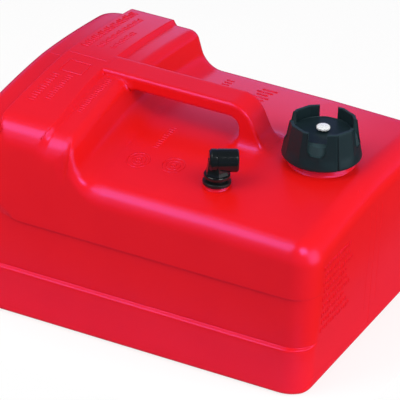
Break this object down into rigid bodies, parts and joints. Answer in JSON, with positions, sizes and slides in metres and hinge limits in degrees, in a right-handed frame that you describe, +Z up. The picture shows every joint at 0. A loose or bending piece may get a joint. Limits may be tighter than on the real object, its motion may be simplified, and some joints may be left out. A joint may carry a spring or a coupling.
{
  "type": "outboard fuel tank",
  "caption": "Portable blow-moulded outboard fuel tank with a moulded carry handle, a screw cap with a vent screw and a swivelling pickup elbow.",
  "frame": {"origin": "on the floor, under the middle of the tank's box", "axes": "+X along the length toward the filler cap, +Y toward the back, away from the pickup elbow, +Z up"},
  "size_m": [0.36, 0.286, 0.2105],
  "materials": {
    "red_polyethylene": "satin blow-moulded red polyethylene",
    "black_satin": "satin moulded black",
    "black_gloss": "glossy moulded black",
    "natural_plastic": "unpainted natural plastic",
    "seal_rubber": "matt black rubber",
    "nickel": "bright nickel plate",
    "spring_steel": "plain spring steel",
    "brass_mesh": "fine woven brass"
  },
  "bodies": {
    "tank": {"tank_shell": "red_polyethylene", "pickup_grommet": "seal_rubber", "pickup_bush": "black_gloss"},
    "gasket": {"cap_gasket": "seal_rubber"},
    "cap": {"cap_grip": "black_satin", "cap_insert": "natural_plastic"},
    "vent_seal": {"vent_o_ring": "seal_rubber"},
    "vent": {"vent_screw": "nickel", "vent_clip": "spring_steel"},
    "pickup": {"pickup_elbow": "black_gloss", "pickup_o_ring": "seal_rubber", "pickup_clip": "spring_steel", "pickup_tube": "natural_plastic", "strainer_body": "natural_plastic", "strainer_screen": "brass_mesh", "strainer_plug": "natural_plastic"}
  },
  "joints": [
    {"name": "cap_rise", "type": "slide", "parent": "tank", "child": "gasket", "axis": [0, 0, 1], "range_m": [0, 0.0211]},
    {"name": "cap_turn", "type": "hinge", "parent": "gasket", "child": "cap", "pos_m": [0.12, 0, 0.19], "axis": [0, 0, 1], "range_deg": [0, 1260]},
    {"name": "vent_rise", "type": "slide", "parent": "cap", "child": "vent_seal", "axis": [0, 0, 1], "range_m": [0, 0.00302]},
    {"name": "vent_turn", "type": "hinge", "parent": "vent_seal", "child": "vent", "pos_m": [0.12, 0, 0.2], "axis": [0, 0, 1], "range_deg": [0, 1080]},
    {"name": "pickup_swivel", "type": "hinge", "parent": "tank", "child": "pickup", "pos_m": [0.054, -0.084, 0.16544], "axis": [0, 0, 1], "continuous": true}
  ],
  "couplings": [
    {"joint": "cap_rise", "follows": "cap_turn", "m_per_rad": 0.00095493},
    {"joint": "vent_rise", "follows": "vent_turn", "m_per_rad": 0.00015915}
  ]
}
